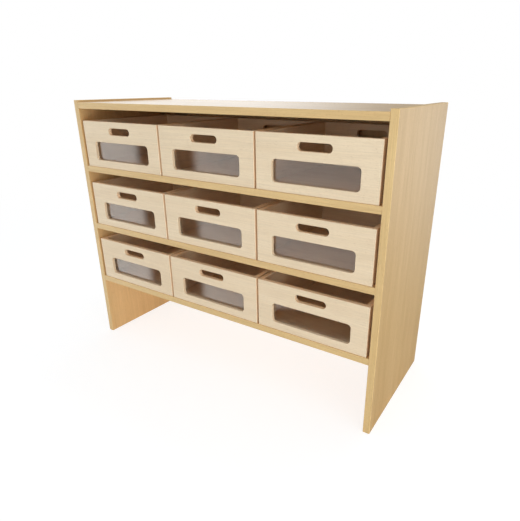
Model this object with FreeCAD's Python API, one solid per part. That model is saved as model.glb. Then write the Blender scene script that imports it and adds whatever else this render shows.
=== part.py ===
import FreeCAD
import Part
import os

from FreeCAD import Vector

# Tray storage cabinet: two sides that stand on the floor, a top, three shelves and nine window trays.
# Millimetres. +Z is up, the open front faces -Y, and the origin is on the floor under the middle.

# Carcass
cabinet_width = 1000.0      # over both sides
cabinet_depth = 390.0       # front edge bands to the back panel
board = 18.0                # thickness of the sides, the top and the shelves
leg_height = 200.0          # floor to the underside of the bottom shelf
bay_height = 169.0          # clear height of each bay
side_rise = 6.0             # how far the sides stand above the top panel
edge_band = 2.0             # thickness of the strips on the visible edges
edge_round = 1.2            # rounding of the strips
band_joint = 0.1            # hairline between the front strip and the top strip of a side
back_sheet = 6.0            # thickness of the back panel
back_lap = 9.0              # lap of the back panel in the rebates of the sides and the top
back_play = 0.5             # gap round the back panel in its rebates

# Rows of trays from the bottom up, and columns from left to right
row_names = ("bottom", "middle", "top")
column_names = ("left", "centre", "right")
shelf_names = ("bottom_shelf", "lower_shelf", "upper_shelf")

# Trays
tray_side_gap = 8.0         # side panel to the outer trays
tray_gap = 6.0              # between neighbouring trays
tray_setback = 2.0          # tray fronts behind the front of the carcass
tray_head_room = 34.0       # tray rim to the board above
tray_back_room = 32.0       # tray back to the back panel
tray_wall = 12.0            # thickness of the four walls
tray_round = 1.0            # rounding of the tray's edges
corner_lap = 4.0            # depth of the corner rebates that take the side walls
base_sheet = 6.0            # thickness of the base
base_rise = 6.0             # underside of the base above the foot of the walls
groove_depth = 5.0          # depth of the groove that holds the base
groove_play = 0.2           # gap round the base in its groove

# Hand slot and window of a tray
slot_width = 88.0
slot_height = 20.0
slot_edge = 17.0            # rim to the top of the slot
slot_rail = 22.0            # slot to the top of the window
window_margin = 44.0        # end of the front to the window
window_corner = 10.0
pane_sheet = 3.0            # thickness of the clear pane
pane_lap = 8.0              # lap of the pane in its rebate round the window
pane_play = 0.3             # gap round the pane
sill_web = 1.8              # wood left between the base groove and the pane rebate

# Dowels between the boards and the sides
dowel_diameter = 8.0
dowel_length = 30.0
dowel_seat = 10.0           # length of a dowel in the side
dowel_play = 0.2            # hole over dowel, on the diameter
dowel_end_room = 1.0        # hole beyond each end of the dowel
dowel_chamfer = 0.8
dowel_shares = (0.30, 0.70)

# Cam bolts and cam locks
cam_diameter = 15.0
cam_height = 12.5
cam_reach = 34.0            # end of the board to the cam's axis
cam_play = 0.4              # hole over cam, on the diameter
cam_drive_width = 1.6       # cross recess for the screwdriver
cam_drive_depth = 2.5
cam_drive_margin = 3.0      # rim of the cam to the end of the recess
bolt_thread = 5.0
bolt_thread_length = 11.0
bolt_shank = 6.0
bolt_neck = 4.0
bolt_head = 6.6
bolt_head_length = 3.4
bolt_play = 0.6             # hole over bolt, on the diameter
bolt_cam_gap = 0.8          # end of the shank to the cam
cam_shares = (0.14, 0.86)

# Countersunk screws of the back panel
screw_shank = 3.5
screw_head = 7.0
screw_head_height = 2.4
screw_length = 22.0
screw_tip = 3.0
screw_play = 0.2            # hole over screw, on the diameter
screw_end_room = 1.0        # hole beyond the tip
screw_row_shares = (-0.42, -0.14, 0.14, 0.42)

overrun = 1.0               # how far cutting shapes stand past the faces they cut
touch = 0.001               # how near an edge has to lie to a plane to be on it

# Worked out from the sizes above
rows = len(row_names)
columns = len(column_names)
inner_width = cabinet_width - 2 * board
bay_pitch = bay_height + board
board_undersides = [leg_height + i * bay_pitch for i in range(rows + 1)]
top_underside = board_undersides[-1]
top_height = top_underside + board
cabinet_height = top_height + side_rise
front = -cabinet_depth / 2
back = cabinet_depth / 2
board_front = front + edge_band
shelf_back = back - back_sheet
back_panel_top = top_underside + back_lap - back_play

tray_width = (inner_width - 2 * tray_side_gap - (columns - 1) * tray_gap) / columns
tray_height = bay_height - tray_head_room
tray_depth = cabinet_depth - back_sheet - tray_setback - tray_back_room
wall_inside = tray_width / 2 - tray_wall
side_start = tray_wall - corner_lap
base_top = base_rise + base_sheet
slot_middle = tray_height - slot_edge - slot_height / 2
window_width = tray_width - 2 * window_margin
window_foot = base_top + groove_play + sill_web + pane_lap
window_head = tray_height - slot_edge - slot_height - slot_rail
window_height = window_head - window_foot
window_middle = (window_foot + window_head) / 2


def block(low, high):
    """Box between two opposite corners."""
    return Part.makeBox(high[0] - low[0], high[1] - low[1], high[2] - low[2], Vector(*low))


def rod(diameter, start, direction, length):
    """Cylinder from a start point along a direction."""
    return Part.makeCylinder(diameter / 2, length, Vector(*start), Vector(*direction))


def cone(start_diameter, end_diameter, start, length):
    """Cone or frustum from a start point along +Y."""
    return Part.makeCone(start_diameter / 2, end_diameter / 2, length, Vector(*start), Vector(0, 1, 0))


def mirrored(shape):
    """The same piece on the other side of the cabinet's middle plane."""
    return shape.mirror(Vector(0, 0, 0), Vector(1, 0, 0))


def edges_on(shape, **planes):
    """Edges that lie in every named plane, such as y=front, z=top_height."""
    found = []
    for edge in shape.Edges:
        box = edge.BoundBox
        limits = {"x": (box.XMin, box.XMax), "y": (box.YMin, box.YMax), "z": (box.ZMin, box.ZMax)}
        if all(abs(limits[axis][end] - at) < touch for axis, at in planes.items() for end in (0, 1)):
            found.append(edge)
    return found


def rounded_prism(width, height, corner, middle, start, length):
    """Upright rounded rectangle centred on x = 0 and z = middle, run along Y from start."""
    low = (-width / 2, start, middle - height / 2)
    high = (width / 2, start + length, middle + height / 2)
    prism = block(low, high)
    return prism.makeFillet(corner, [e for e in prism.Edges if e.BoundBox.YLength > touch])


def capsule(width, height, middle, start, length):
    """Slot with round ends, centred on x = 0 and z = middle, run along Y from start."""
    reach = (width - height) / 2
    slot = block((-reach, start, middle - height / 2), (reach, start + length, middle + height / 2))
    for x in (-reach, reach):
        slot = slot.fuse(rod(height, (x, start, middle), (0, 1, 0), length))
    return slot.removeSplitter()


def board_place(share):
    """Place along Y for a share of a shelf's depth."""
    return board_front + share * (shelf_back - board_front)


def row_screws(underside):
    """Places of the back panel's screws in one board. In the top they lie in the panel's lap."""
    height = back_lap if underside == top_underside else board
    return [(share * inner_width, underside + height / 2) for share in screw_row_shares]


def column_screws():
    """Places of the back panel's screws in the sides, one beside each bay."""
    x = (inner_width + back_lap) / 2
    heights = [z + board + bay_height / 2 for z in board_undersides[:-1]]
    return [(side * x, z) for z in heights for side in (-1, 1)]


def screw_places():
    """Places of all the back panel's screws."""
    places = column_screws()
    for underside in board_undersides:
        places += row_screws(underside)
    return places


def pilot_holes(places):
    """Holes for the back panel's screws ahead of the panel."""
    depth = screw_length - back_sheet + screw_end_room
    wide = screw_shank + screw_play
    return [rod(wide, (x, shelf_back - depth, z), (0, 1, 0), depth + overrun) for x, z in places]


def dowel_holes(side, height):
    """Holes through the joint face at one end of a board, for its dowels."""
    start = side * (inner_width / 2 + dowel_seat + dowel_end_room)
    length = dowel_length + 2 * dowel_end_room
    wide = dowel_diameter + dowel_play
    return [rod(wide, (start, board_place(share), height), (-side, 0, 0), length) for share in dowel_shares]


def thread_holes(side, height):
    """Holes in a side panel for the threads of the cam bolts."""
    start = side * (inner_width / 2 - overrun)
    length = bolt_thread_length + overrun
    wide = bolt_thread + bolt_play
    return [rod(wide, (start, board_place(share), height), (side, 0, 0), length) for share in cam_shares]


def bolt_holes(side, height):
    """Holes in the end of a board for the shanks and heads of the cam bolts."""
    start = side * (inner_width / 2 + overrun)
    length = cam_reach + overrun
    wide = bolt_head + bolt_play
    return [rod(wide, (start, board_place(share), height), (-side, 0, 0), length) for share in cam_shares]


def cam_holes(side, underside):
    """Holes in the underside of a board for the cam locks."""
    x = side * (inner_width / 2 - cam_reach)
    length = cam_height + cam_play + overrun
    wide = cam_diameter + cam_play
    foot = underside - overrun
    return [rod(wide, (x, board_place(share), foot), (0, 0, 1), length) for share in cam_shares]


def side_panel():
    """Left side, with the rebate for the back panel and the holes of its joints."""
    outer = -cabinet_width / 2
    inner = -inner_width / 2
    panel = block((outer, board_front, 0), (inner, back, cabinet_height - edge_band))
    rebate = block((inner - back_lap, shelf_back, leg_height - back_play),
                   (inner + overrun, back + overrun, top_underside + back_lap))
    cuts = [rebate] + pilot_holes(column_screws())
    for underside in board_undersides:
        cuts += dowel_holes(-1, underside + board / 2) + thread_holes(-1, underside + board / 2)
    return panel.cut(cuts)


def rounded(strip, *groups):
    """Strip with groups of edges rounded. Where two groups meet, their roundings cut each other."""
    shape = strip.makeFillet(edge_round, groups[0])
    for edges in groups[1:]:
        shape = shape.common(strip.makeFillet(edge_round, edges))
    return shape


def top_edges(strip, *sides):
    """Upper edges of a side's strip, at the given places along X."""
    return [edge for x in sides for edge in edges_on(strip, x=x, z=cabinet_height)]


def side_edge_bands():
    """Strips on the front and the top edge of the left side."""
    outer = -cabinet_width / 2
    inner = -inner_width / 2
    upright = block((outer, front, 0), (inner, board_front, cabinet_height))
    level_start = board_front + band_joint
    level = block((outer, level_start, cabinet_height - edge_band), (inner, back, cabinet_height))
    front_edges = edges_on(upright, x=outer, y=front) + edges_on(upright, x=inner, y=front)
    end_edge = edges_on(upright, y=front, z=cabinet_height)
    rounded_upright = rounded(upright, front_edges, top_edges(upright, outer, inner), end_edge)
    return [rounded_upright, rounded(level, top_edges(level, outer, inner))]


def cross_board(underside, depth_end):
    """Board between the sides, with its dowel, bolt, cam and screw holes."""
    half = inner_width / 2
    middle = underside + board / 2
    plank = block((-half, board_front, underside), (half, depth_end, underside + board))
    holes = pilot_holes(row_screws(underside))
    for side in (-1, 1):
        holes += dowel_holes(side, middle) + bolt_holes(side, middle) + cam_holes(side, underside)
    return plank.cut(holes)


def shelf(underside):
    """Shelf in front of the back panel."""
    return cross_board(underside, shelf_back)


def top_panel():
    """Top, over the full depth, with a rebate that takes the back panel's upper edge."""
    half = inner_width / 2
    rebate = block((-half - overrun, shelf_back, top_underside - overrun),
                   (half + overrun, back + overrun, top_underside + back_lap))
    return cross_board(top_underside, back).cut(rebate)


def board_edge_band(underside):
    """Strip on the front edge of the top or of a shelf."""
    upper = underside + board
    strip = block((-inner_width / 2, front, underside), (inner_width / 2, board_front, upper))
    return rounded(strip, edges_on(strip, y=front, z=underside) + edges_on(strip, y=front, z=upper))


def back_panel():
    """Back, with countersunk holes for its screws."""
    reach = inner_width / 2 + back_lap - back_play
    panel = block((-reach, shelf_back, leg_height), (reach, back, back_panel_top))
    holes = []
    narrow = screw_shank + screw_play
    wide = screw_head + screw_play
    sink = back - screw_head_height
    for x, z in screw_places():
        holes.append(rod(narrow, (x, shelf_back - overrun, z), (0, 1, 0), back_sheet + 2 * overrun))
        holes.append(cone(narrow, wide, (x, sink, z), screw_head_height))
    return panel.cut(holes)


def back_panel_screw(x, z):
    """Countersunk screw, its head level with the back."""
    shank_end = back - screw_head_height
    tip_start = back - screw_length + screw_tip
    head = cone(screw_shank, screw_head, (x, shank_end, z), screw_head_height)
    shank = rod(screw_shank, (x, tip_start, z), (0, 1, 0), shank_end - tip_start)
    tip = cone(0, screw_shank, (x, back - screw_length, z), screw_tip)
    return head.fuse([shank, tip]).removeSplitter()


def dowel(side, y, z):
    """Wooden dowel across one joint."""
    start = side * (inner_width / 2 + dowel_seat)
    pin = rod(dowel_diameter, (start, y, z), (-side, 0, 0), dowel_length)
    ends = [e for e in pin.Edges if e.BoundBox.XLength < touch]
    return pin.makeChamfer(dowel_chamfer, ends)


def cam_bolt(side, y, z):
    """Bolt from the side into the cam: thread, shank, neck and head."""
    joint = side * inner_width / 2
    inward = (-side, 0, 0)
    shank_length = cam_reach - cam_diameter / 2 - bolt_cam_gap
    head_start = cam_reach - bolt_head_length / 2
    thread = rod(bolt_thread, (joint + side * bolt_thread_length, y, z), inward, bolt_thread_length)
    shank = rod(bolt_shank, (joint, y, z), inward, shank_length)
    neck = rod(bolt_neck, (joint - side * shank_length, y, z), inward, head_start - shank_length)
    head = rod(bolt_head, (joint - side * head_start, y, z), inward, bolt_head_length)
    return thread.fuse([shank, neck, head]).removeSplitter()


def cam_lock(side, y, underside):
    """Cam in the underside of a board, open towards the bolt, with a cross recess for the screwdriver."""
    x = side * (inner_width / 2 - cam_reach)
    axis_height = underside + board / 2
    body = rod(cam_diameter, (x, y, underside), (0, 0, 1), cam_height)
    neck_room = (bolt_neck + bolt_play) / 2
    head_room = (bolt_head + bolt_play) / 2
    rim = x + side * (cam_diameter / 2 + overrun)
    channel = block((min(x, rim), y - neck_room, axis_height - neck_room),
                    (max(x, rim), y + neck_room, underside + cam_height + overrun))
    pocket = block((x - head_room, y - head_room, axis_height - head_room),
                   (x + head_room, y + head_room, axis_height + head_room))
    reach = cam_diameter / 2 - cam_drive_margin
    half = cam_drive_width / 2
    drive_top = underside + cam_drive_depth
    cross = [block((x - reach, y - half, underside - overrun), (x + reach, y + half, drive_top)),
             block((x - half, y - reach, underside - overrun), (x + half, y + reach, drive_top))]
    return body.cut([channel, pocket] + cross)


def joint_hardware():
    """Dowels, cam bolts and cam locks at both ends of every board."""
    dowels = []
    bolts = []
    locks = []
    for underside in board_undersides:
        middle = underside + board / 2
        for side in (-1, 1):
            dowels += [dowel(side, board_place(share), middle) for share in dowel_shares]
            bolts += [cam_bolt(side, board_place(share), middle) for share in cam_shares]
            locks += [cam_lock(side, board_place(share), underside) for share in cam_shares]
    return dowels, bolts, locks


def tray_end(with_window):
    """Front of a tray, or without the window its back before it is turned round."""
    half = tray_width / 2
    plate = block((-half, 0, 0), (half, tray_wall, tray_height))
    cuts = [capsule(slot_width, slot_height, slot_middle, -overrun, tray_wall + 2 * overrun)]
    groove_reach = wall_inside + groove_depth
    cuts.append(block((-groove_reach, tray_wall - groove_depth, base_rise),
                      (groove_reach, tray_wall + overrun, base_top + groove_play)))
    for low, high in ((-half - overrun, -wall_inside), (wall_inside, half + overrun)):
        cuts.append(block((low, side_start, -overrun), (high, tray_wall + overrun, tray_height + overrun)))
    if with_window:
        cuts.append(rounded_prism(window_width, window_height, window_corner, window_middle,
                                  -overrun, tray_wall + 2 * overrun))
        cuts.append(rounded_prism(window_width + 2 * pane_lap, window_height + 2 * pane_lap,
                                  window_corner + pane_lap, window_middle,
                                  tray_wall - pane_sheet, pane_sheet + overrun))
    plate = plate.cut(cuts)
    slot_foot = slot_middle - slot_height / 2
    inner_slot = [e for e in edges_on(plate, y=tray_wall) if e.BoundBox.ZMin > slot_foot - touch]
    return plate.makeFillet(tray_round, edges_on(plate, y=0) + inner_slot)


def tray_front():
    """Front of a tray, with the hand slot and the window."""
    return tray_end(True)


def tray_back():
    """Back of a tray, with the hand slot alone."""
    return tray_end(False).mirror(Vector(0, tray_depth / 2, 0), Vector(0, 1, 0))


def tray_sides():
    """Two side walls, let into the corner rebates of the front and the back."""
    outer = -tray_width / 2
    wall = block((outer, side_start, 0), (-wall_inside, tray_depth - side_start, tray_height))
    groove = block((-wall_inside - groove_depth, 0, base_rise),
                   (-wall_inside + overrun, tray_depth, base_top + groove_play))
    wall = wall.cut(groove)
    rims = edges_on(wall, x=outer, z=tray_height) + edges_on(wall, x=-wall_inside, z=tray_height)
    wall = wall.makeFillet(tray_round, rims)
    return [wall, mirrored(wall)]


def tray_base():
    """Base sheet, resting on the lower face of the groove."""
    half = wall_inside + groove_depth - groove_play
    start = tray_wall - groove_depth + groove_play
    return block((-half, start, base_rise), (half, tray_depth - start, base_top))


def tray_pane():
    """Clear pane behind the window, level with the inside of the front."""
    lap = pane_lap - pane_play
    return rounded_prism(window_width + 2 * lap, window_height + 2 * lap, window_corner + lap,
                         window_middle, tray_wall - pane_sheet, pane_sheet)


def tray_corner(row, column):
    """Where a tray's own origin lies: the foot of its front, in the middle."""
    x = (column - (columns - 1) / 2) * (tray_width + tray_gap)
    return Vector(x, front + tray_setback, board_undersides[row] + board)


def moved(solids, offset):
    """Copies of some solids, moved by an offset."""
    copies = [solid.copy() for solid in solids]
    for solid in copies:
        solid.translate(offset)
    return copies


def cabinet_nodes():
    """Solids of the carcass by node name."""
    dowels, bolts, locks = joint_hardware()
    left = side_panel()
    left_bands = side_edge_bands()
    return {
        "left_side_panel": [left],
        "right_side_panel": [mirrored(left)],
        "top_panel": [top_panel()],
        **{name: [shelf(z)] for name, z in zip(shelf_names, board_undersides)},
        "back_panel": [back_panel()],
        "left_side_edge_bands": left_bands,
        "right_side_edge_bands": [mirrored(band) for band in left_bands],
        "top_panel_edge_band": [board_edge_band(top_underside)],
        "shelf_edge_bands": [board_edge_band(z) for z in board_undersides[:-1]],
        "board_dowels": dowels,
        "cam_bolts": bolts,
        "cam_locks": locks,
        "back_panel_screws": [back_panel_screw(x, z) for x, z in screw_places()],
    }


def tray_nodes():
    """Solids of the nine trays by node name."""
    pieces = {
        "front": [tray_front()],
        "back": [tray_back()],
        "sides": tray_sides(),
        "base": [tray_base()],
        "pane": [tray_pane()],
    }
    nodes = {}
    for row, row_name in enumerate(row_names):
        for column, column_name in enumerate(column_names):
            for piece, solids in pieces.items():
                nodes[f"{row_name}_{column_name}_tray_{piece}"] = moved(solids, tray_corner(row, column))
    return nodes


def main():
    os.makedirs("parts", exist_ok=True)
    nodes = {**cabinet_nodes(), **tray_nodes()}
    for name, solids in nodes.items():
        shape = solids[0] if len(solids) == 1 else Part.makeCompound(solids)
        shape.exportStep(f"parts/{name}.step")
    print(len(nodes), "nodes,", sum(len(solids) for solids in nodes.values()), "solids")


main()
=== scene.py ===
import math

import bpy
from bpy.props import FloatProperty, FloatVectorProperty, PointerProperty
from bpy.types import NodeSocket, Operator, Panel, PropertyGroup
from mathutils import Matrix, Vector


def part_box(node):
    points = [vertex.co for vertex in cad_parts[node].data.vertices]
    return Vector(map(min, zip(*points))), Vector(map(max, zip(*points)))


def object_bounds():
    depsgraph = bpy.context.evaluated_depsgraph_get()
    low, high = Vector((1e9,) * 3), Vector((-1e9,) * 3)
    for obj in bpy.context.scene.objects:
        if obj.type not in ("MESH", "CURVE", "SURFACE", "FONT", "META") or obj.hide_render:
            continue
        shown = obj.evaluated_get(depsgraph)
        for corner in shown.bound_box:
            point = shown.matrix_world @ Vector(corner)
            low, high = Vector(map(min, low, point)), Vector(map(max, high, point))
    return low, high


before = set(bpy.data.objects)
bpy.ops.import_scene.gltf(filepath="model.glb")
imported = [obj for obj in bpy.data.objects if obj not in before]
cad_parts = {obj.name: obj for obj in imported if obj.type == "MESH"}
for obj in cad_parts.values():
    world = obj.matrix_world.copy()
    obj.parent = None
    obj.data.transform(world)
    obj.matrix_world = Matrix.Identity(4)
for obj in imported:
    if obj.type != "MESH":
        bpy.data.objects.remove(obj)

bl_info = {
    "name": "Tray storage cabinet",
    "version": (1, 0, 0),
    "blender": (4, 5, 0),
    "location": "3D View > Sidebar > Tray cabinet",
    "description": "Finishes the wood, panes and fittings of a tray cabinet and sets its studio",
    "category": "Object",
}

CAD_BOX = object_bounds()
AXES = {"X": 0, "Y": 1, "Z": 2}
ROWS = ("top", "middle", "bottom")
COLUMNS = ("left", "centre", "right")
TRAYS = [f"{row}_{column}_tray" for row in ROWS for column in COLUMNS]

# First seed of each group of pieces. No two wooden pieces share a seed, and no two panes do.
SEEDS = {"sides": 1, "boards": 3, "back": 7, "side_bands": 8, "top_band": 10, "shelf_bands": 11,
         "trays": 12, "dowels": 60, "panes": 1}


# Properties that a user would change

def colour(name, description, default):
    """A colour property."""
    return FloatVectorProperty(name=name, description=description, default=default,
                               size=3, min=0.0, max=1.0, subtype="COLOR")


def length(name, description, default):
    """A length property in metres."""
    return FloatProperty(name=name, description=description, default=default,
                         min=0.0, precision=4, unit="LENGTH")


def share(name, description, default):
    """A property from 0 to 1."""
    return FloatProperty(name=name, description=description, default=default,
                         min=0.0, max=1.0, subtype="FACTOR")


def strength(name, description, default):
    """A property for the strength of a light."""
    return FloatProperty(name=name, description=description, default=default, min=0.0)


def power(name, description, default):
    """A property for the power of a lamp in watts."""
    return FloatProperty(name=name, description=description, default=default, min=0.0, unit="POWER")


class BoardFinish(PropertyGroup):
    """Beech-coloured board of the sides, the top and the shelves."""
    light: colour("Light streaks", "Colour of the light streaks", (0.668, 0.455, 0.214))
    dark: colour("Dark streaks", "Colour of the dark streaks", (0.588, 0.385, 0.168))
    pores: colour("Flecks", "Colour of the short flecks along the grain", (0.390, 0.225, 0.085))
    worn: colour("Worn edges", "Colour of the rubbed edges", (0.720, 0.500, 0.245))
    streak: length("Streak width", "Width of the streaks", 0.030)
    reach: length("Streak length", "Length of the streaks", 0.900)
    roughness: share("Roughness", "Roughness of the lacquer", 0.42)
    coat: share("Coat", "Strength of the clear satin coat", 0.50)


class BandFinish(PropertyGroup):
    """Edge bands on the fronts of the boards and on the tops of the sides."""
    light: colour("Light streaks", "Colour of the light streaks", (0.665, 0.468, 0.212))
    dark: colour("Dark streaks", "Colour of the dark streaks", (0.600, 0.405, 0.174))
    pores: colour("Flecks", "Colour of the short flecks along the grain", (0.430, 0.255, 0.100))
    worn: colour("Worn edges", "Colour of the rubbed edges", (0.730, 0.525, 0.250))
    streak: length("Streak width", "Width of the streaks", 0.009)
    reach: length("Streak length", "Length of the streaks", 0.300)
    roughness: share("Roughness", "Roughness of the lacquer", 0.40)
    coat: share("Coat", "Strength of the clear satin coat", 0.15)


class BackFinish(PropertyGroup):
    """Thin board of the back."""
    light: colour("Light streaks", "Colour of the light streaks", (0.700, 0.485, 0.250))
    dark: colour("Dark streaks", "Colour of the dark streaks", (0.615, 0.405, 0.192))
    pores: colour("Flecks", "Colour of the short flecks along the grain", (0.400, 0.235, 0.095))
    worn: colour("Worn edges", "Colour of the rubbed edges", (0.730, 0.520, 0.280))
    streak: length("Streak width", "Width of the streaks", 0.036)
    reach: length("Streak length", "Length of the streaks", 0.900)
    roughness: share("Roughness", "Roughness of the lacquer", 0.52)
    coat: share("Coat", "Strength of the clear satin coat", 0.10)


class TrayFinish(PropertyGroup):
    """Birch plywood of the trays."""
    light: colour("Light streaks", "Colour of the light streaks", (0.760, 0.622, 0.438))
    dark: colour("Dark streaks", "Colour of the dark streaks", (0.722, 0.578, 0.396))
    # The inside colours are painted warm bounce light on the trays' shaded inner faces; the light one
    # also colours the long plies on the edges.
    bounce_warmed_light: colour("Light streaks inside", "Light streaks of the inner veneer",
                        (0.805, 0.637, 0.437))
    bounce_warmed_dark: colour("Dark streaks inside", "Dark streaks of the inner veneer",
                       (0.765, 0.588, 0.388))
    pores: colour("Flecks", "Colour of the short flecks along the grain", (0.560, 0.415, 0.260))
    cross: colour("Cross plies", "Colour of the end grain of the cross plies", (0.770, 0.595, 0.390))
    worn: colour("Worn edges", "Colour of the rubbed edges", (0.800, 0.670, 0.480))
    glue: colour("Glue lines", "Colour of the glue lines between the plies", (0.500, 0.335, 0.190))
    ply: length("Ply thickness", "Thickness of one ply", 0.00134)
    streak: length("Streak width", "Width of the streaks", 0.024)
    reach: length("Streak length", "Length of the streaks", 0.450)
    roughness: share("Roughness", "Roughness of the lacquer", 0.44)
    coat: share("Coat", "Strength of the clear satin coat", 0.12)


class DowelFinish(PropertyGroup):
    """Turned hardwood of the dowels."""
    light: colour("Light streaks", "Colour of the light streaks", (0.640, 0.470, 0.260))
    dark: colour("Dark streaks", "Colour of the dark streaks", (0.500, 0.335, 0.160))
    pores: colour("Flecks", "Colour of the short flecks along the grain", (0.360, 0.220, 0.095))
    worn: colour("Worn edges", "Colour of the rubbed edges", (0.680, 0.510, 0.290))
    streak: length("Streak width", "Width of the streaks", 0.003)
    reach: length("Streak length", "Length of the streaks", 0.060)
    roughness: share("Roughness", "Roughness of the bare wood", 0.66)
    coat: share("Coat", "Strength of the clear satin coat", 0.0)


class PaneFinish(PropertyGroup):
    """Clear sheet of the windows."""
    tint: colour("Tint", "Colour of the light that comes through", (0.970, 0.975, 0.970))
    haze: colour("Haze", "Colour where the sheet is a little smeared", (0.930, 0.930, 0.920))
    polish: share("Polish", "Roughness of the clean sheet", 0.005)
    smear: share("Smear", "Roughness of the smeared places", 0.030)


class FittingFinish(PropertyGroup):
    """Zinc plating of the bolts, cam locks and screws."""
    bright: colour("Bright zinc", "Colour of the bright plating", (0.640, 0.655, 0.680))
    dull: colour("Dull zinc", "Colour of the dull plating", (0.430, 0.440, 0.455))
    roughness: share("Roughness", "Roughness of the plating", 0.32)


class StageSettings(PropertyGroup):
    """Floor, light and camera of the studio."""
    floor: colour("Floor", "Colour of the floor", (0.85, 0.89, 0.90))
    front_walls: colour("Front walls", "Colour of the walls in front, as gloss shows them",
                        (0.94, 0.94, 0.905))
    back_walls: colour("Back walls", "Colour of the walls behind, as gloss shows them",
                       (0.88, 0.94, 1.0))
    around: strength("Surrounding light", "Strength of the even light from all round", 0.68)
    later: strength("Later bounces", "Share by which light is stronger after three bounces", 1.7)
    bounced: colour("Bounced light", "Colour of light after three bounces", (1.0, 0.68, 0.48))
    key: power("Front lamp", "Power of the large lamp in front", 6.0)
    fill: power("Side lamp", "Power of the large lamp on the right", 26.5)
    top: power("Top lamp", "Power of the large lamp above", 5.5)
    lens: FloatProperty(name="Lens", description="Focal length of the camera, in millimetres",
                        default=31.0639, min=10.0, max=200.0, unit="CAMERA")


class CabinetSettings(PropertyGroup):
    """All settings of the cabinet."""
    boards: PointerProperty(type=BoardFinish, name="Boards", description="Finish of the boards")
    bands: PointerProperty(type=BandFinish, name="Edge bands", description="Finish of the edge bands")
    back: PointerProperty(type=BackFinish, name="Back", description="Finish of the back panel")
    trays: PointerProperty(type=TrayFinish, name="Trays", description="Finish of the trays")
    dowels: PointerProperty(type=DowelFinish, name="Dowels", description="Finish of the dowels")
    panes: PointerProperty(type=PaneFinish, name="Panes", description="Finish of the window panes")
    fittings: PointerProperty(type=FittingFinish, name="Fittings", description="Finish of the fittings")
    stage: PointerProperty(type=StageSettings, name="Stage", description="Floor, light and camera")


# Materials

class Shading:
    """Shorthand for filling one node tree: each call adds a node and gives its output."""

    def __init__(self, tree):
        self.tree = tree
        tree.nodes.clear()

    def add(self, kind, values, **settings):
        """Add a node. The values go to its inputs, by name or number, as links or constants."""
        node = self.tree.nodes.new(kind)
        for name, value in settings.items():
            setattr(node, name, value)
        for socket, value in values.items():
            if isinstance(value, NodeSocket):
                self.tree.links.new(value, node.inputs[socket])
            else:
                node.inputs[socket].default_value = value
        return node

    def math(self, operation, *values):
        """Arithmetic on numbers."""
        return self.add("ShaderNodeMath", dict(enumerate(values)), operation=operation).outputs[0]

    def vector(self, operation, *values):
        """Arithmetic on vectors."""
        return self.add("ShaderNodeVectorMath", dict(enumerate(values)), operation=operation).outputs[0]

    def size(self, vector):
        """Length of a vector."""
        return self.add("ShaderNodeVectorMath", {0: vector}, operation="LENGTH").outputs["Value"]

    def parts(self, vector):
        """The three numbers of a vector."""
        return self.add("ShaderNodeSeparateXYZ", {0: vector}).outputs[:]

    def joined(self, x, y, z):
        """A vector of three numbers."""
        return self.add("ShaderNodeCombineXYZ", {0: x, 1: y, 2: z}).outputs[0]

    def ramp(self, value, low, high, start=0.0, end=1.0):
        """A smooth step from start to end while the value goes from low to high."""
        values = {0: value, 1: low, 2: high, 3: start, 4: end}
        return self.add("ShaderNodeMapRange", values, interpolation_type="SMOOTHSTEP").outputs[0]

    def noise(self, vector, detail=2.0, roughness=0.5):
        """Noise with features about one unit wide."""
        values = {"Vector": vector, "Scale": 1.0, "Detail": detail, "Roughness": roughness}
        return self.add("ShaderNodeTexNoise", values).outputs

    def bump(self, height, amount, distance):
        """A normal that follows a height."""
        values = {"Strength": amount, "Distance": distance, "Height": height}
        return self.add("ShaderNodeBump", values).outputs[0]

    def blend(self, share, first, second, how="MIX"):
        """A mix of two colours."""
        node = self.add("ShaderNodeMix", {}, data_type="RGBA", blend_type=how)
        for socket, value in ((0, share), (6, first), (7, second)):
            if isinstance(value, NodeSocket):
                self.tree.links.new(value, node.inputs[socket])
            elif socket:
                node.inputs[socket].default_value = (*value, 1.0)
            else:
                node.inputs[socket].default_value = value
        return node.outputs[2]

    def surface(self, shader):
        """Make a shader the surface of the material."""
        self.add("ShaderNodeOutputMaterial", {"Surface": shader})


def new_material(name):
    """An empty material and the shorthand for its nodes."""
    material = bpy.data.materials.new(name)
    material.use_nodes = True
    return material, Shading(material.node_tree)


def shifted(shading, place, seed, steps):
    """Coordinates moved by the seed, so that each piece shows another stretch of a pattern."""
    farthest = 2.0
    return shading.vector("ADD", place, [seed * step % farthest for step in steps])


def stretched(shading, place, grain, along, across):
    """Coordinates in which a feature is one unit: so long with the grain and so wide across it."""
    scale = [1 / across] * 3
    scale[AXES[grain]] = 1 / along
    return shading.vector("MULTIPLY", place, scale)


def painted_bounce_inside(shading, finish, tone, face, place, normal, sheet, middle):
    """The face colour, changed to a warmer one on the faces that look at the middle of the tray: painted
    warm bounce light of their shade.
    """
    axis = AXES[sheet]
    towards = shading.math("SUBTRACT", middle[axis], shading.parts(place)[axis])
    looking = shading.math("MULTIPLY", towards, shading.parts(normal)[axis])
    inside = shading.math("GREATER_THAN", looking, 0.0)
    return shading.blend(inside, face, shading.blend(tone, finish.bounce_warmed_light, finish.bounce_warmed_dark))


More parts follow.
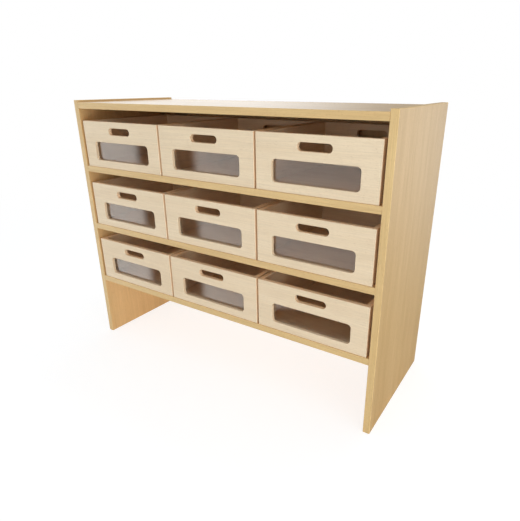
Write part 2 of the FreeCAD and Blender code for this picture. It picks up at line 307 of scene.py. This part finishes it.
def ply_edges(shading, finish, face, box, sheet, pair, facing):
    """The face colour, with the plies of the sheet showing on its edges."""
    glue_reach = 0.14
    glue_strength = 0.22
    edge_from = 0.80
    edge_full = 0.50
    low, high = (corner[AXES[sheet]] for corner in box)
    across = shading.parts(shading.add("ShaderNodeTexCoord", {}).outputs["Object"])[AXES[sheet]]
    if pair:
        off_middle = shading.math("ABSOLUTE", shading.math("SUBTRACT", across, (low + high) / 2))
        depth = shading.math("SUBTRACT", (high - low) / 2, off_middle)
    else:
        depth = shading.math("SUBTRACT", across, low)
    plies = shading.math("DIVIDE", depth, finish.ply)
    crossed = shading.math("MODULO", shading.math("FLOOR", plies), 2.0)
    from_joint = shading.math("PINGPONG", plies, 0.5)
    between = shading.ramp(from_joint, 0.0, glue_reach, glue_strength, 0.0)
    edge = shading.blend(crossed, finish.bounce_warmed_light, finish.cross)
    edge = shading.blend(between, edge, finish.glue)
    return shading.blend(shading.ramp(facing, edge_from, edge_full), face, edge)


# Sizes of the grain in metres, each with its length along the fibres and its width across them
WANDER = (0.35, 0.10)
FIBRE = (0.090, 0.0022)
FLECK = (0.007, 0.0010)

# The broad bands of tone are so many times as long and as wide as the streaks
BROAD_LENGTH = 1.6
BROAD_WIDTH = 5

WOOD_STEPS = (0.731, 0.417, 0.573)
NOISE_MIDDLE = (0.5, 0.5, 0.5)
FIBRE_RANGE = (0.25, 0.75)
PATCHES_PER_METRE = 60.0
COAT_ROUGHNESS = 0.16


def wood_tone(shading, finish, place, grain):
    """Streaks and broad bands along the grain, from 0 where they are light to 1 where they are dark."""
    streak_share = 0.65
    streak_place = stretched(shading, place, grain, finish.reach, finish.streak)
    streaks = shading.noise(streak_place, detail=3.0, roughness=0.55)[0]
    broad_place = stretched(shading, place, grain, BROAD_LENGTH * finish.reach,
                            BROAD_WIDTH * finish.streak)
    broad = shading.noise(broad_place, detail=1.0)[0]
    broad = shading.math("MULTIPLY", broad, 1.0 - streak_share)
    tone = shading.math("MULTIPLY_ADD", streaks, streak_share, broad)
    return shading.ramp(tone, low=0.36, high=0.66)


def wood(name, finish, grain, sheet, seed, box=None, middle=None, pair=False, turned=None):
    """Lacquered wood: streaks, fibres and flecks along the grain, with its edges a little worn.

    grain is the axis of the fibres and sheet the axis through the board. A box and the middle of a
    tray make it plywood, and a pair of walls is measured from both outer faces. turned is a place
    along Y: in front of it a strip stands upright, and behind it the strip lies along Y.
    """
    wander_share = 0.3
    fleck_share = 0.40
    worn_share = 0.60
    fibre_gloss = 0.05
    worn_roughness = 0.14
    fleck_depth = -0.7
    material, shading = new_material(name)
    at = place = shading.add("ShaderNodeTexCoord", {}).outputs["Object"]
    normal = shading.add("ShaderNodeNewGeometry", {}).outputs["Normal"]
    if turned is not None:
        x, y, z = shading.parts(place)
        values = {0: shading.math("LESS_THAN", y, turned), 4: shading.joined(x, z, y), 5: place}
        place = shading.add("ShaderNodeMix", values, data_type="VECTOR").outputs[1]
    place = shifted(shading, place, seed, WOOD_STEPS)

    wander = shading.noise(stretched(shading, place, grain, *WANDER), detail=1.0)["Color"]
    wander = shading.vector("SCALE", shading.vector("SUBTRACT", wander, NOISE_MIDDLE))
    wander.node.inputs["Scale"].default_value = wander_share * finish.streak
    place = shading.vector("ADD", place, wander)
    tone = wood_tone(shading, finish, place, grain)
    fibres = shading.noise(stretched(shading, place, grain, *FIBRE), detail=2.0, roughness=0.6)[0]
    fleck = shading.noise(stretched(shading, place, grain, *FLECK), detail=0.0)[0]
    fleck = shading.ramp(fleck, low=0.66, high=0.76)

    face = shading.blend(tone, finish.light, finish.dark)
    # Faces that look into the tray get the warmer colour, painted bounce light of the shaded insides.
    if middle:
        face = painted_bounce_inside(shading, finish, tone, face, at, normal, sheet, middle)
    shade = shading.ramp(fibres, *FIBRE_RANGE, start=0.94, end=1.05)
    face = shading.blend(1.0, face, shading.joined(shade, shade, shade), "MULTIPLY")
    face = shading.blend(shading.math("MULTIPLY", fleck, fleck_share), face, finish.pores)

    facing = shading.math("ABSOLUTE", shading.parts(normal)[AXES[sheet]])
    if middle:
        face = ply_edges(shading, finish, face, box, sheet, pair, facing)
    arris = shading.math("MULTIPLY", facing, shading.math("SUBTRACT", 1.0, facing))
    patches = shading.noise(shading.vector("MULTIPLY", place, (PATCHES_PER_METRE,) * 3), detail=2.0)[0]
    patchy = shading.ramp(patches, low=0.42, high=0.62)
    worn = shading.math("MULTIPLY", shading.ramp(arris, low=0.05, high=0.20), patchy)
    face = shading.blend(shading.math("MULTIPLY", worn, worn_share), face, finish.worn)

    roughness = shading.ramp(fibres, *FIBRE_RANGE, finish.roughness + fibre_gloss,
                             finish.roughness - fibre_gloss)
    roughness = shading.math("MULTIPLY_ADD", worn, worn_roughness, roughness)
    height = shading.math("MULTIPLY_ADD", fleck, fleck_depth, fibres)
    uneven = shading.bump(height, amount=0.22, distance=0.0004)
    shading.surface(shading.add("ShaderNodeBsdfPrincipled", {
        "Base Color": face, "Roughness": roughness, "Normal": uneven,
        "Coat Weight": finish.coat, "Coat Roughness": COAT_ROUGHNESS}).outputs[0])
    return material


SHEET_STEPS = (0.531, 0.317, 0.673)
SMEARS_PER_METRE = (22.0, 22.0, 60.0)
WAVES_PER_METRE = (7.0, 7.0, 9.0)
ACRYLIC_IOR = 1.49


def clear_sheet(name, finish, seed):
    """Clear sheet with faint smears and waves."""
    material, shading = new_material(name)
    place = shading.add("ShaderNodeTexCoord", {}).outputs["Object"]
    place = shifted(shading, place, seed, SHEET_STEPS)
    smear = shading.vector("MULTIPLY", place, SMEARS_PER_METRE)
    smear = shading.noise(smear, detail=3.0, roughness=0.6)[0]
    smear = shading.ramp(smear, low=0.48, high=0.72)
    wave = shading.noise(shading.vector("MULTIPLY", place, WAVES_PER_METRE), detail=0.0)[0]
    shading.surface(shading.add("ShaderNodeBsdfPrincipled", {
        "Base Color": shading.blend(smear, finish.tint, finish.haze),
        "Roughness": shading.ramp(smear, 0.0, 1.0, finish.polish, finish.smear),
        "Normal": shading.bump(wave, amount=0.05, distance=0.001),
        "Transmission Weight": 1.0, "IOR": ACRYLIC_IOR}).outputs[0])
    return material


DULL_PATCHES_PER_METRE = (380.0, 380.0, 380.0)
MARKS_PER_METRE = (300.0, 2600.0, 2600.0)


def zinc_plating(name, finish):
    """Zinc plating with dull patches and fine turning marks."""
    smoother = 0.06
    rougher = 0.12
    material, shading = new_material(name)
    place = shading.add("ShaderNodeTexCoord", {}).outputs["Object"]
    patch = shading.vector("MULTIPLY", place, DULL_PATCHES_PER_METRE)
    patch = shading.noise(patch, detail=3.0, roughness=0.6)[0]
    mark = shading.noise(shading.vector("MULTIPLY", place, MARKS_PER_METRE), detail=1.0)[0]
    dullness = shading.ramp(patch, low=0.35, high=0.68)
    roughness = shading.ramp(patch, low=0.3, high=0.7, start=finish.roughness - smoother,
                             end=finish.roughness + rougher)
    shading.surface(shading.add("ShaderNodeBsdfPrincipled", {
        "Base Color": shading.blend(dullness, finish.bright, finish.dull), "Roughness": roughness,
        "Normal": shading.bump(mark, amount=0.2, distance=0.0001), "Metallic": 1.0}).outputs[0])
    return material


def dress(node, material):
    """Give a node of the frame its material, with the mesh left as it is."""
    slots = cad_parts[node].material_slots
    if not slots:
        raise RuntimeError(f"{node} has no material slot")
    for slot in slots:
        slot.link = "OBJECT"
        slot.material = material


# Operators, one for each group of like pieces

class CABINET_OT_side_panels(Operator):
    """Finish the two side panels, grain upright"""
    bl_idname = "cabinet.side_panels"
    bl_label = "Side panels"

    def execute(self, context):
        finish = context.scene.tray_cabinet.boards
        for seed, side in enumerate(("left", "right"), SEEDS["sides"]):
            dress(f"{side}_side_panel", wood(f"{side}_side_board", finish, "Z", "X", seed))
        return {"FINISHED"}


class CABINET_OT_level_boards(Operator):
    """Finish the top and the three shelves, grain along the width"""
    bl_idname = "cabinet.level_boards"
    bl_label = "Top and shelves"

    def execute(self, context):
        finish = context.scene.tray_cabinet.boards
        boards = ("top_panel", "upper_shelf", "lower_shelf", "bottom_shelf")
        for seed, node in enumerate(boards, SEEDS["boards"]):
            dress(node, wood(f"{node}_board", finish, "X", "Z", seed))
        return {"FINISHED"}


class CABINET_OT_back_panel(Operator):
    """Finish the thin back panel, grain upright"""
    bl_idname = "cabinet.back_panel"
    bl_label = "Back panel"

    def execute(self, context):
        finish = context.scene.tray_cabinet.back
        dress("back_panel", wood("back_board", finish, "Z", "Y", SEEDS["back"]))
        return {"FINISHED"}


class CABINET_OT_edge_bands(Operator):
    """Finish the edge bands, grain along each strip"""
    bl_idname = "cabinet.edge_bands"
    bl_label = "Edge bands"

    def execute(self, context):
        finish = context.scene.tray_cabinet.bands
        past_middle = 0.001
        for seed, side in enumerate(("left", "right"), SEEDS["side_bands"]):
            node = f"{side}_side_edge_bands"
            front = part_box(node)[0].y
            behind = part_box(f"{side}_side_panel")[0].y
            turned = (front + behind) / 2 + past_middle
            dress(node, wood(f"{side}_side_bands", finish, "Z", "X", seed, turned=turned))
        dress("top_panel_edge_band", wood("top_band", finish, "X", "Y", SEEDS["top_band"]))
        dress("shelf_edge_bands", wood("shelf_bands", finish, "X", "Y", SEEDS["shelf_bands"]))
        return {"FINISHED"}


class CABINET_OT_tray_walls(Operator):
    """Finish the fronts, backs, sides and bases of the trays as plywood"""
    bl_idname = "cabinet.tray_walls"
    bl_label = "Tray walls and bases"

    def execute(self, context):
        finish = context.scene.tray_cabinet.trays
        pieces = {"front": ("X", "Y"), "back": ("X", "Y"), "sides": ("Y", "X"), "base": ("X", "Z")}
        seed = SEEDS["trays"]
        for tray in TRAYS:
            middle = (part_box(f"{tray}_front")[0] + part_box(f"{tray}_back")[1]) / 2
            for piece, (grain, sheet) in pieces.items():
                node = f"{tray}_{piece}"
                dress(node, wood(f"{node}_ply", finish, grain, sheet, seed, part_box(node), middle,
                                 piece == "sides"))
                seed += 1
        return {"FINISHED"}


class CABINET_OT_panes(Operator):
    """Finish the clear panes of the tray windows"""
    bl_idname = "cabinet.panes"
    bl_label = "Window panes"

    def execute(self, context):
        finish = context.scene.tray_cabinet.panes
        for seed, tray in enumerate(TRAYS, SEEDS["panes"]):
            dress(f"{tray}_pane", clear_sheet(f"{tray}_clear_sheet", finish, seed))
        return {"FINISHED"}


class CABINET_OT_dowels(Operator):
    """Finish the dowels that locate the boards"""
    bl_idname = "cabinet.dowels"
    bl_label = "Dowels"

    def execute(self, context):
        finish = context.scene.tray_cabinet.dowels
        dress("board_dowels", wood("turned_dowel", finish, "X", "X", SEEDS["dowels"]))
        return {"FINISHED"}


class CABINET_OT_fittings(Operator):
    """Finish the cam bolts, the cam locks and the screws of the back"""
    bl_idname = "cabinet.fittings"
    bl_label = "Bolts, cam locks and screws"

    def execute(self, context):
        finish = context.scene.tray_cabinet.fittings
        for node in ("cam_bolts", "cam_locks", "back_panel_screws"):
            dress(node, zinc_plating(f"{node}_zinc", finish))
        return {"FINISHED"}


# Stage

FLOOR_REACH = 60.0
FLOOR_DROP = 0.0005

# Distances from the middle between which the shown floor goes over to plain white, and its levels
WHITE_FROM = 0.6
WHITE_FULL = 3.0
NEAR_GLOW = 0.75
NEAR_COLOUR = (0.325, 0.345, 0.36)
BLACK = (0.0, 0.0, 0.0)
WHITE = (1.0, 1.0, 1.0)

# Light that the floor near the cabinet gives to it, and the distances over which it fades
LIFT = 0.20
LIFT_FROM = 0.5
LIFT_END = 1.6


def studio_floor(settings):
    """A wide pale floor that shows white far off and keeps the shadow of the cabinet."""
    reach = FLOOR_REACH
    mesh = bpy.data.meshes.new("studio_floor")
    mesh.from_pydata([(-reach, -reach, 0), (reach, -reach, 0), (reach, reach, 0), (-reach, reach, 0)],
                     [], [(0, 1, 2, 3)])
    floor = bpy.data.objects.new("studio_floor", mesh)
    bpy.context.scene.collection.objects.link(floor)
    floor.location.z = CAD_BOX[0].z - FLOOR_DROP
    floor.visible_glossy = False
    floor.visible_transmission = False
    material, shading = new_material("studio_floor")
    light_path = shading.add("ShaderNodeLightPath", {}).outputs
    far = shading.size(shading.add("ShaderNodeTexCoord", {}).outputs["Object"])

    glow = shading.ramp(far, WHITE_FROM, WHITE_FULL, NEAR_GLOW, 1.0)
    glow = shading.add("ShaderNodeEmission", {"Strength": glow}).outputs[0]
    near = shading.blend(shading.ramp(far, WHITE_FROM, WHITE_FULL), NEAR_COLOUR, BLACK)
    near = shading.add("ShaderNodeBsdfDiffuse", {"Color": near}).outputs[0]
    shown = shading.add("ShaderNodeAddShader", {0: glow, 1: near}).outputs[0]

    lift = shading.ramp(far, LIFT_FROM, LIFT_END, LIFT, 0.0)
    lift = shading.add("ShaderNodeEmission", {"Strength": lift}).outputs[0]
    plain = shading.add("ShaderNodeBsdfDiffuse", {"Color": (*settings.floor, 1.0)}).outputs[0]
    plain = shading.add("ShaderNodeAddShader", {0: lift, 1: plain}).outputs[0]
    shading.surface(shading.add("ShaderNodeMixShader", {
        0: light_path["Is Camera Ray"], 1: plain, 2: shown}).outputs[0])
    mesh.materials.append(material)


# The front walls as gloss shows them, by the angle from straight out of the front, left negative
FRONT_LEFT = math.radians(-50.0)
FRONT_RIGHT = math.radians(-20.0)
FRONT_LEFT_LEVEL = 2.45
FRONT_RIGHT_LEVEL = 1.55

# A dark post between the front walls: where it starts, is full, is last full and ends
POST = [math.radians(angle) for angle in (-50.0, -48.6, -43.3, -41.9)]
POST_DARKNESS = 0.97

# The dark foot of the front walls, by the height of the direction to it
FRONT_FOOT = (-0.466, -0.450)
FRONT_FOOT_LEVEL = 0.02

# The back walls, by the width and the height of the direction: bright on the left, dim in the
# middle, between the two on the right, and dark at the foot
BACK_LEFT = (-0.28, -0.60)
BACK_RIGHT = (-0.15, 0.05)
BACK_LEFT_LEVEL = 1.42
BACK_MIDDLE_LEVEL = 0.30
BACK_RIGHT_LEVEL = 0.73
BACK_FOOT = (-0.50, -0.06)
BACK_FOOT_LEVEL = 0.05


def wall_levels(shading, x, y, z):
    """How bright gloss shows the walls in each direction, and whether that is behind the cabinet."""
    turn = shading.math("ARCTAN2", x, shading.math("MULTIPLY", y, -1.0))
    post = shading.math("SUBTRACT", shading.ramp(turn, *POST[:2]), shading.ramp(turn, *POST[2:]))
    post = shading.math("MULTIPLY_ADD", post, -POST_DARKNESS, 1.0)
    front = shading.ramp(turn, FRONT_LEFT, FRONT_RIGHT, FRONT_LEFT_LEVEL, FRONT_RIGHT_LEVEL)
    front = shading.math("MULTIPLY", front, post)
    foot = shading.ramp(z, *FRONT_FOOT, FRONT_FOOT_LEVEL, 1.0)
    front = shading.math("MULTIPLY", foot, front)

    left = shading.ramp(x, *BACK_LEFT, BACK_MIDDLE_LEVEL, BACK_LEFT_LEVEL)
    right = shading.ramp(x, *BACK_RIGHT, 0.0, BACK_RIGHT_LEVEL - BACK_MIDDLE_LEVEL)
    foot = shading.ramp(z, *BACK_FOOT, BACK_FOOT_LEVEL, 1.0)
    behind = shading.math("MULTIPLY", foot, shading.math("ADD", left, right))
    is_behind = shading.math("GREATER_THAN", y, 0.0)
    walls = shading.math("MULTIPLY_ADD", shading.math("SUBTRACT", behind, front), is_behind, front)
    return walls, is_behind


def studio_surround(settings):
    """Even light from all round. The background is white, and gloss shows the studio walls.

    Light that has bounced three times or more is stronger and warmer. It stands for the later
    bounces between the walls of the trays.
    """
    # Limits between whole numbers of bounces
    no_bounce = 0.5
    two_bounces = 2.5
    world = bpy.data.worlds.new("studio")
    bpy.context.scene.world = world
    world.use_nodes = True
    shading = Shading(world.node_tree)
    light_path = shading.add("ShaderNodeLightPath", {}).outputs
    first = shading.math("LESS_THAN", light_path["Diffuse Depth"], no_bounce)
    deep = shading.math("GREATER_THAN", light_path["Diffuse Depth"], two_bounces)
    mirrored = shading.math("GREATER_THAN", light_path["Glossy Depth"], no_bounce)
    through = shading.math("SUBTRACT", light_path["Is Transmission Ray"], mirrored)
    through = shading.math("MULTIPLY", through, first)
    seen = shading.math("MAXIMUM", light_path["Is Camera Ray"], through)
    mirrored = shading.math("MULTIPLY", mirrored, first)

    direction = shading.add("ShaderNodeTexCoord", {}).outputs["Generated"]
    walls, is_behind = wall_levels(shading, *shading.parts(direction))
    around = shading.math("MULTIPLY_ADD", deep, settings.later * settings.around, settings.around)
    level = shading.math("MULTIPLY_ADD", shading.math("SUBTRACT", walls, around), mirrored, around)
    level = shading.math("MULTIPLY_ADD", shading.math("SUBTRACT", 1.0, level), seen, level)
    wall_tint = shading.blend(is_behind, settings.front_walls, settings.back_walls)
    tint = shading.blend(deep, WHITE, settings.bounced)
    tint = shading.blend(mirrored, tint, wall_tint)
    light = shading.add("ShaderNodeBackground", {"Color": tint, "Strength": level})
    shading.add("ShaderNodeOutputWorld", {"Surface": light.outputs[0]})


# Width and height, place and target of each lamp in metres. through lets its light pass the panes.
FRONT_LAMP = {"size": (1.4, 0.8), "place": (0.6, -2.2, 1.18), "target": (0.0, 0.0, 0.40), "through": True}
TOP_LAMP = {"size": (1.4, 0.5), "place": (0.0, 0.45, 1.9), "target": (0.0, 0.15, 0.0), "through": False}
SIDE_LAMP = {"size": (1.6, 0.5), "place": (2.6, -1.1, 0.30), "target": (0.2, 0.0, 0.2), "through": False}


def soft_lamp(name, watts, size, place, target, through):
    """A large soft lamp, out of sight."""
    data = bpy.data.lights.new(name, "AREA")
    data.shape = "RECTANGLE"
    data.size, data.size_y = size
    data.energy = watts
    lamp = bpy.data.objects.new(name, data)
    lamp.location = place
    lamp.rotation_euler = (Vector(target) - Vector(place)).to_track_quat("-Z", "Y").to_euler()
    lamp.visible_camera = False
    lamp.visible_glossy = False
    lamp.visible_transmission = through
    bpy.context.scene.collection.objects.link(lamp)


# Camera: place in metres, turn in degrees, sensor in millimetres and shift as a share of it
CAMERA_PLACE = (0.78647, -1.08262, 0.82635)
CAMERA_TURN = (68.1519, 0.0181, 32.2403)
SENSOR_WIDTH = 36.0
CAMERA_SHIFT = (-0.035, 0.00929)


def studio_camera(settings):
    """The camera at the photograph's viewing angle."""
    data = bpy.data.cameras.new("studio_camera")
    data.lens = settings.lens
    data.sensor_width = SENSOR_WIDTH
    data.shift_x, data.shift_y = CAMERA_SHIFT
    camera = bpy.data.objects.new("studio_camera", data)
    camera.location = CAMERA_PLACE
    camera.rotation_euler = [math.radians(angle) for angle in CAMERA_TURN]
    bpy.context.scene.collection.objects.link(camera)
    bpy.context.scene.camera = camera


class CABINET_OT_stage(Operator):
    """Set the floor, the soft studio light and the camera"""
    bl_idname = "cabinet.stage"
    bl_label = "Stage"

    def execute(self, context):
        settings = context.scene.tray_cabinet.stage
        context.scene.view_settings.view_transform = "Standard"
        studio_floor(settings)
        studio_surround(settings)
        soft_lamp("front_lamp", settings.key, **FRONT_LAMP)
        soft_lamp("top_lamp", settings.top, **TOP_LAMP)
        soft_lamp("side_lamp", settings.fill, **SIDE_LAMP)
        studio_camera(settings)
        return {"FINISHED"}


OPERATORS = (CABINET_OT_side_panels, CABINET_OT_level_boards, CABINET_OT_back_panel,
             CABINET_OT_edge_bands, CABINET_OT_tray_walls, CABINET_OT_panes, CABINET_OT_dowels,
             CABINET_OT_fittings, CABINET_OT_stage)


class CABINET_PT_sidebar(Panel):
    """Buttons for the cabinet's finishes and its stage"""
    bl_idname = "CABINET_PT_sidebar"
    bl_label = "Tray cabinet"
    bl_space_type = "VIEW_3D"
    bl_region_type = "UI"
    bl_category = "Tray cabinet"

    def draw(self, context):
        for operator in OPERATORS:
            self.layout.operator(operator.bl_idname)


CLASSES = (BoardFinish, BandFinish, BackFinish, TrayFinish, DowelFinish, PaneFinish, FittingFinish,
           StageSettings, CabinetSettings, *OPERATORS, CABINET_PT_sidebar)


def register():
    """Register the classes and put the settings on the scene."""
    for cls in CLASSES:
        bpy.utils.register_class(cls)
    bpy.types.Scene.tray_cabinet = PointerProperty(type=CabinetSettings)


def unregister():
    """Take the settings and the classes away again."""
    del bpy.types.Scene.tray_cabinet
    for cls in reversed(CLASSES):
        bpy.utils.unregister_class(cls)


def main():
    """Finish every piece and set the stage."""
    register()
    for operator in OPERATORS:
        group, name = operator.bl_idname.split(".")
        getattr(getattr(bpy.ops, group), name)()


if __name__ == "__main__":
    main()
